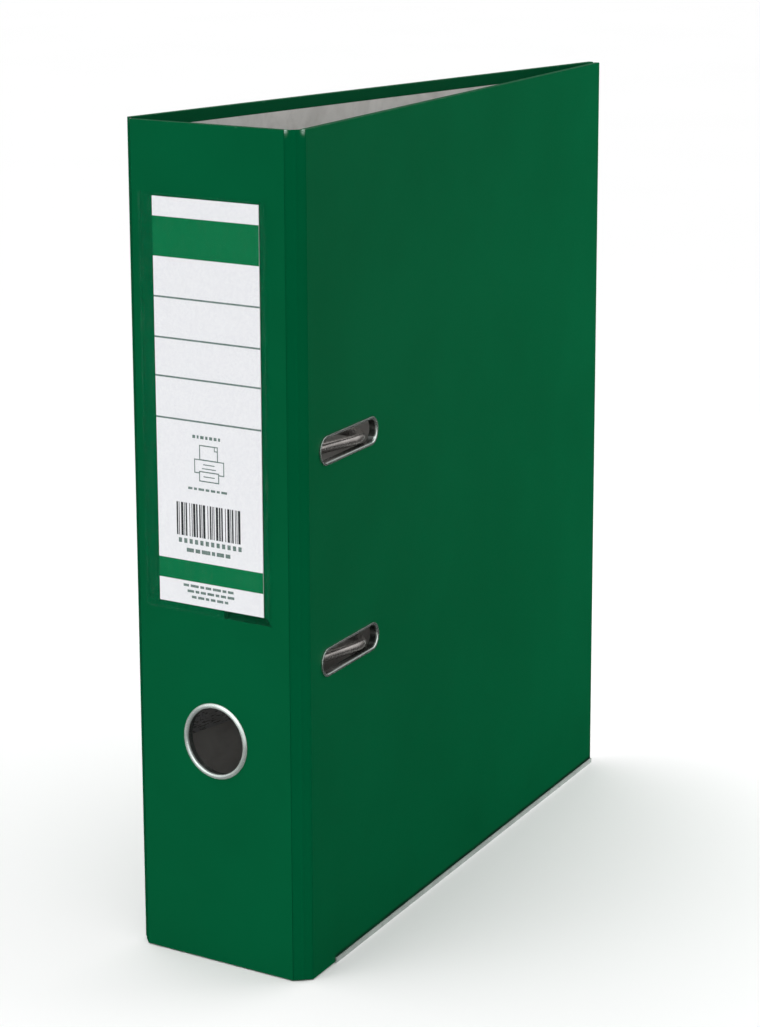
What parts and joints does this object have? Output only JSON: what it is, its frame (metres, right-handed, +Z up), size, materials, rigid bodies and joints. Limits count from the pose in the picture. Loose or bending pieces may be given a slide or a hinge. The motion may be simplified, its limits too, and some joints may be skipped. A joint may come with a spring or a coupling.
{
  "type": "lever arch file",
  "caption": "Lever arch file for punched A4 sheets: foil-covered board covers and spine, lever arch mechanism, label pocket, finger ring, cover slots and edge rails.",
  "frame": {"origin": "middle of the file in plan, on the surface it stands on", "axes": "+Z up the spine, +Y from the spine to the fore edges, +X across the thickness towards the front cover"},
  "size_m": [0.08, 0.2905, 0.3184],
  "materials": {
    "board": "matte",
    "green_foil": "gloss",
    "grey_lining": "matte",
    "nickel": "polished",
    "zinc_steel": "satin",
    "bright_wire": "polished",
    "spring_steel": "satin",
    "clear_film": "gloss",
    "label_paper": "matte",
    "roller_nylon": "satin"
  },
  "bodies": {
    "back_cover": {"back_board": "board", "back_cover_foil": "green_foil", "back_lining": "grey_lining", "back_edge_rail": "nickel", "base_plate": "zinc_steel", "post_upper": "bright_wire", "post_lower": "bright_wire", "plate_rivets": "nickel", "lever_pin": "nickel", "arch_spring": "spring_steel", "back_hinge_strip": "green_foil"},
    "spine": {"spine_board": "board", "spine_foil": "green_foil", "spine_lining": "grey_lining", "finger_ring": "nickel", "label_pocket": "clear_film", "front_hinge_strip": "green_foil"},
    "front_cover": {"front_board": "board", "front_cover_foil": "green_foil", "front_lining": "grey_lining", "front_edge_rail": "nickel", "slot_rim_upper": "nickel", "slot_rim_lower": "nickel"},
    "label": {"label_card": "label_paper"},
    "arch": {"arch_wire": "bright_wire"},
    "lever": {"lever_arm": "zinc_steel", "roller_pin": "nickel"},
    "roller": {"roller": "roller_nylon"},
    "compressor": {"compressor_bar": "zinc_steel", "catch_pin": "nickel"},
    "catch": {"compressor_catch": "zinc_steel"}
  },
  "joints": [
    {"name": "cover_hinge", "type": "hinge", "parent": "spine", "child": "front_cover", "pos_m": [0.037, -0.14152, 0.16], "axis": [0, 0, -1], "range_deg": [0, 99], "deforming": ["front_hinge_strip"]},
    {"name": "spine_hinge", "type": "hinge", "parent": "back_cover", "child": "spine", "pos_m": [-0.037, -0.14152, 0.16], "axis": [0, 0, -1], "range_deg": [0, 96], "deforming": ["back_hinge_strip"]},
    {"name": "arch_pivot", "type": "hinge", "parent": "back_cover", "child": "arch", "pos_m": [-0.02858, -0.11958, 0.1583], "axis": [0, 0, -1], "range_deg": [0, 38.5], "deforming": ["arch_spring"]},
    {"name": "lever_pivot", "type": "hinge", "parent": "back_cover", "child": "lever", "pos_m": [-0.01625, -0.09721, 0.1583], "axis": [0, 0, 1], "range_deg": [0, 92.5]},
    {"name": "roller_spin", "type": "hinge", "parent": "lever", "child": "roller", "pos_m": [-0.02105, -0.10878, 0.1583], "axis": [0, 0, 1], "continuous": true},
    {"name": "compressor_slide", "type": "slide", "parent": "back_cover", "child": "compressor", "axis": [0.9949, -0.1011, 0], "range_m": [0, 0.035]},
    {"name": "catch_pivot", "type": "hinge", "parent": "compressor", "child": "catch", "pos_m": [-0.02433, -0.0798, 0.2063], "axis": [-0.1011, -0.9949, 0], "range_deg": [0, 15], "stiffness_Nm_per_rad": 0.02},
    {"name": "label_slide", "type": "slide", "parent": "spine", "child": "label", "axis": [0, 0, 1], "range_m": [0, 0.154]}
  ],
  "couplings": [
    {"joint": "spine_hinge", "follows": "cover_hinge", "ratio": 0.96768},
    {"joint": "arch_pivot", "follows": "cover_hinge", "ratio": 0.38384},
    {"joint": "lever_pivot", "follows": "cover_hinge", "ratio": 0.92929}
  ]
}
